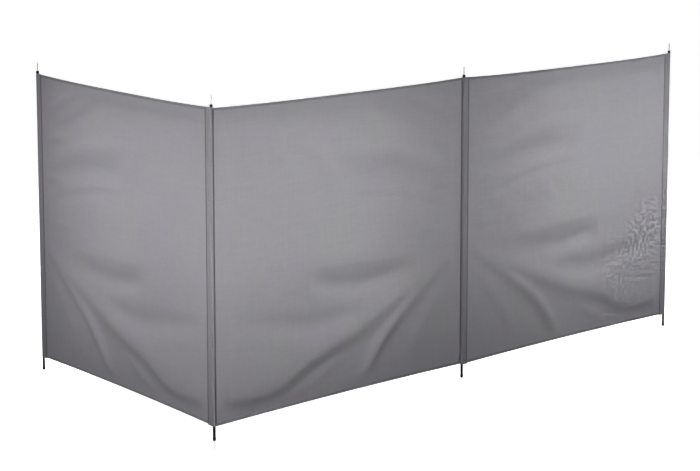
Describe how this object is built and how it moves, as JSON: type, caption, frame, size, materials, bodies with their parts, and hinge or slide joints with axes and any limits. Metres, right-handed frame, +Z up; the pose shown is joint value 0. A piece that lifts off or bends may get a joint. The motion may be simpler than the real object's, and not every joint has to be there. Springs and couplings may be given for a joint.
{
  "type": "beach windbreak",
  "caption": "Free-standing cloth windbreak of equal bays on slim black poles, with sewn pole sleeves, steel pins at both pole ends and one bay turned back at a corner.",
  "frame": {"origin": "centre of the flat face of the corner pole's foot, at ground level", "axes": "+Z up; +X along the middle and right bays; the left bay turns back from the corner pole, 76.5 degrees from +X towards +Y; the outside of the corner faces -Y"},
  "size_m": [3.3258, 1.6285, 1.55],
  "materials": {
    "cloth": "plain woven polyester, matt, slightly see-through to light",
    "hem_cloth": "the same cloth turned twice and stitched",
    "sleeve_cloth": "the same cloth in two layers, stitched along the seam",
    "pole_paint": "black satin paint",
    "black_plastic": "moulded, slightly worn",
    "pin_steel": "bright galvanised"
  },
  "bodies": {
    "middle_bay": {"pole_corner": "pole_paint", "foot_corner": "black_plastic", "cap_corner": "black_plastic", "ground_spike_corner": "pin_steel", "top_pin_corner": "pin_steel", "pole_inner": "pole_paint", "foot_inner": "black_plastic", "cap_inner": "black_plastic", "ground_spike_inner": "pin_steel", "top_pin_inner": "pin_steel", "panel_middle": "cloth", "top_hem_middle": "hem_cloth", "bottom_hem_middle": "hem_cloth"},
    "left_bay": {"sleeve_corner": "sleeve_cloth", "sleeve_left_end": "sleeve_cloth", "pole_left_end": "pole_paint", "foot_left_end": "black_plastic", "cap_left_end": "black_plastic", "ground_spike_left_end": "pin_steel", "top_pin_left_end": "pin_steel", "panel_left": "cloth", "top_hem_left": "hem_cloth", "bottom_hem_left": "hem_cloth"},
    "right_bay": {"sleeve_inner": "sleeve_cloth", "sleeve_right_end": "sleeve_cloth", "pole_right_end": "pole_paint", "foot_right_end": "black_plastic", "cap_right_end": "black_plastic", "ground_spike_right_end": "pin_steel", "top_pin_right_end": "pin_steel", "panel_right": "cloth", "top_hem_right": "hem_cloth", "bottom_hem_right": "hem_cloth"}
  },
  "joints": [
    {"name": "left_bay_swing", "type": "hinge", "parent": "middle_bay", "child": "left_bay", "pos_m": [0, 0, 0], "axis": [0, 0, 1], "range_deg": [-71.5, 103.5]},
    {"name": "right_bay_swing", "type": "hinge", "parent": "middle_bay", "child": "right_bay", "pos_m": [1.655, 0, 0], "axis": [0, 0, 1], "range_deg": [-175, 0]}
  ]
}
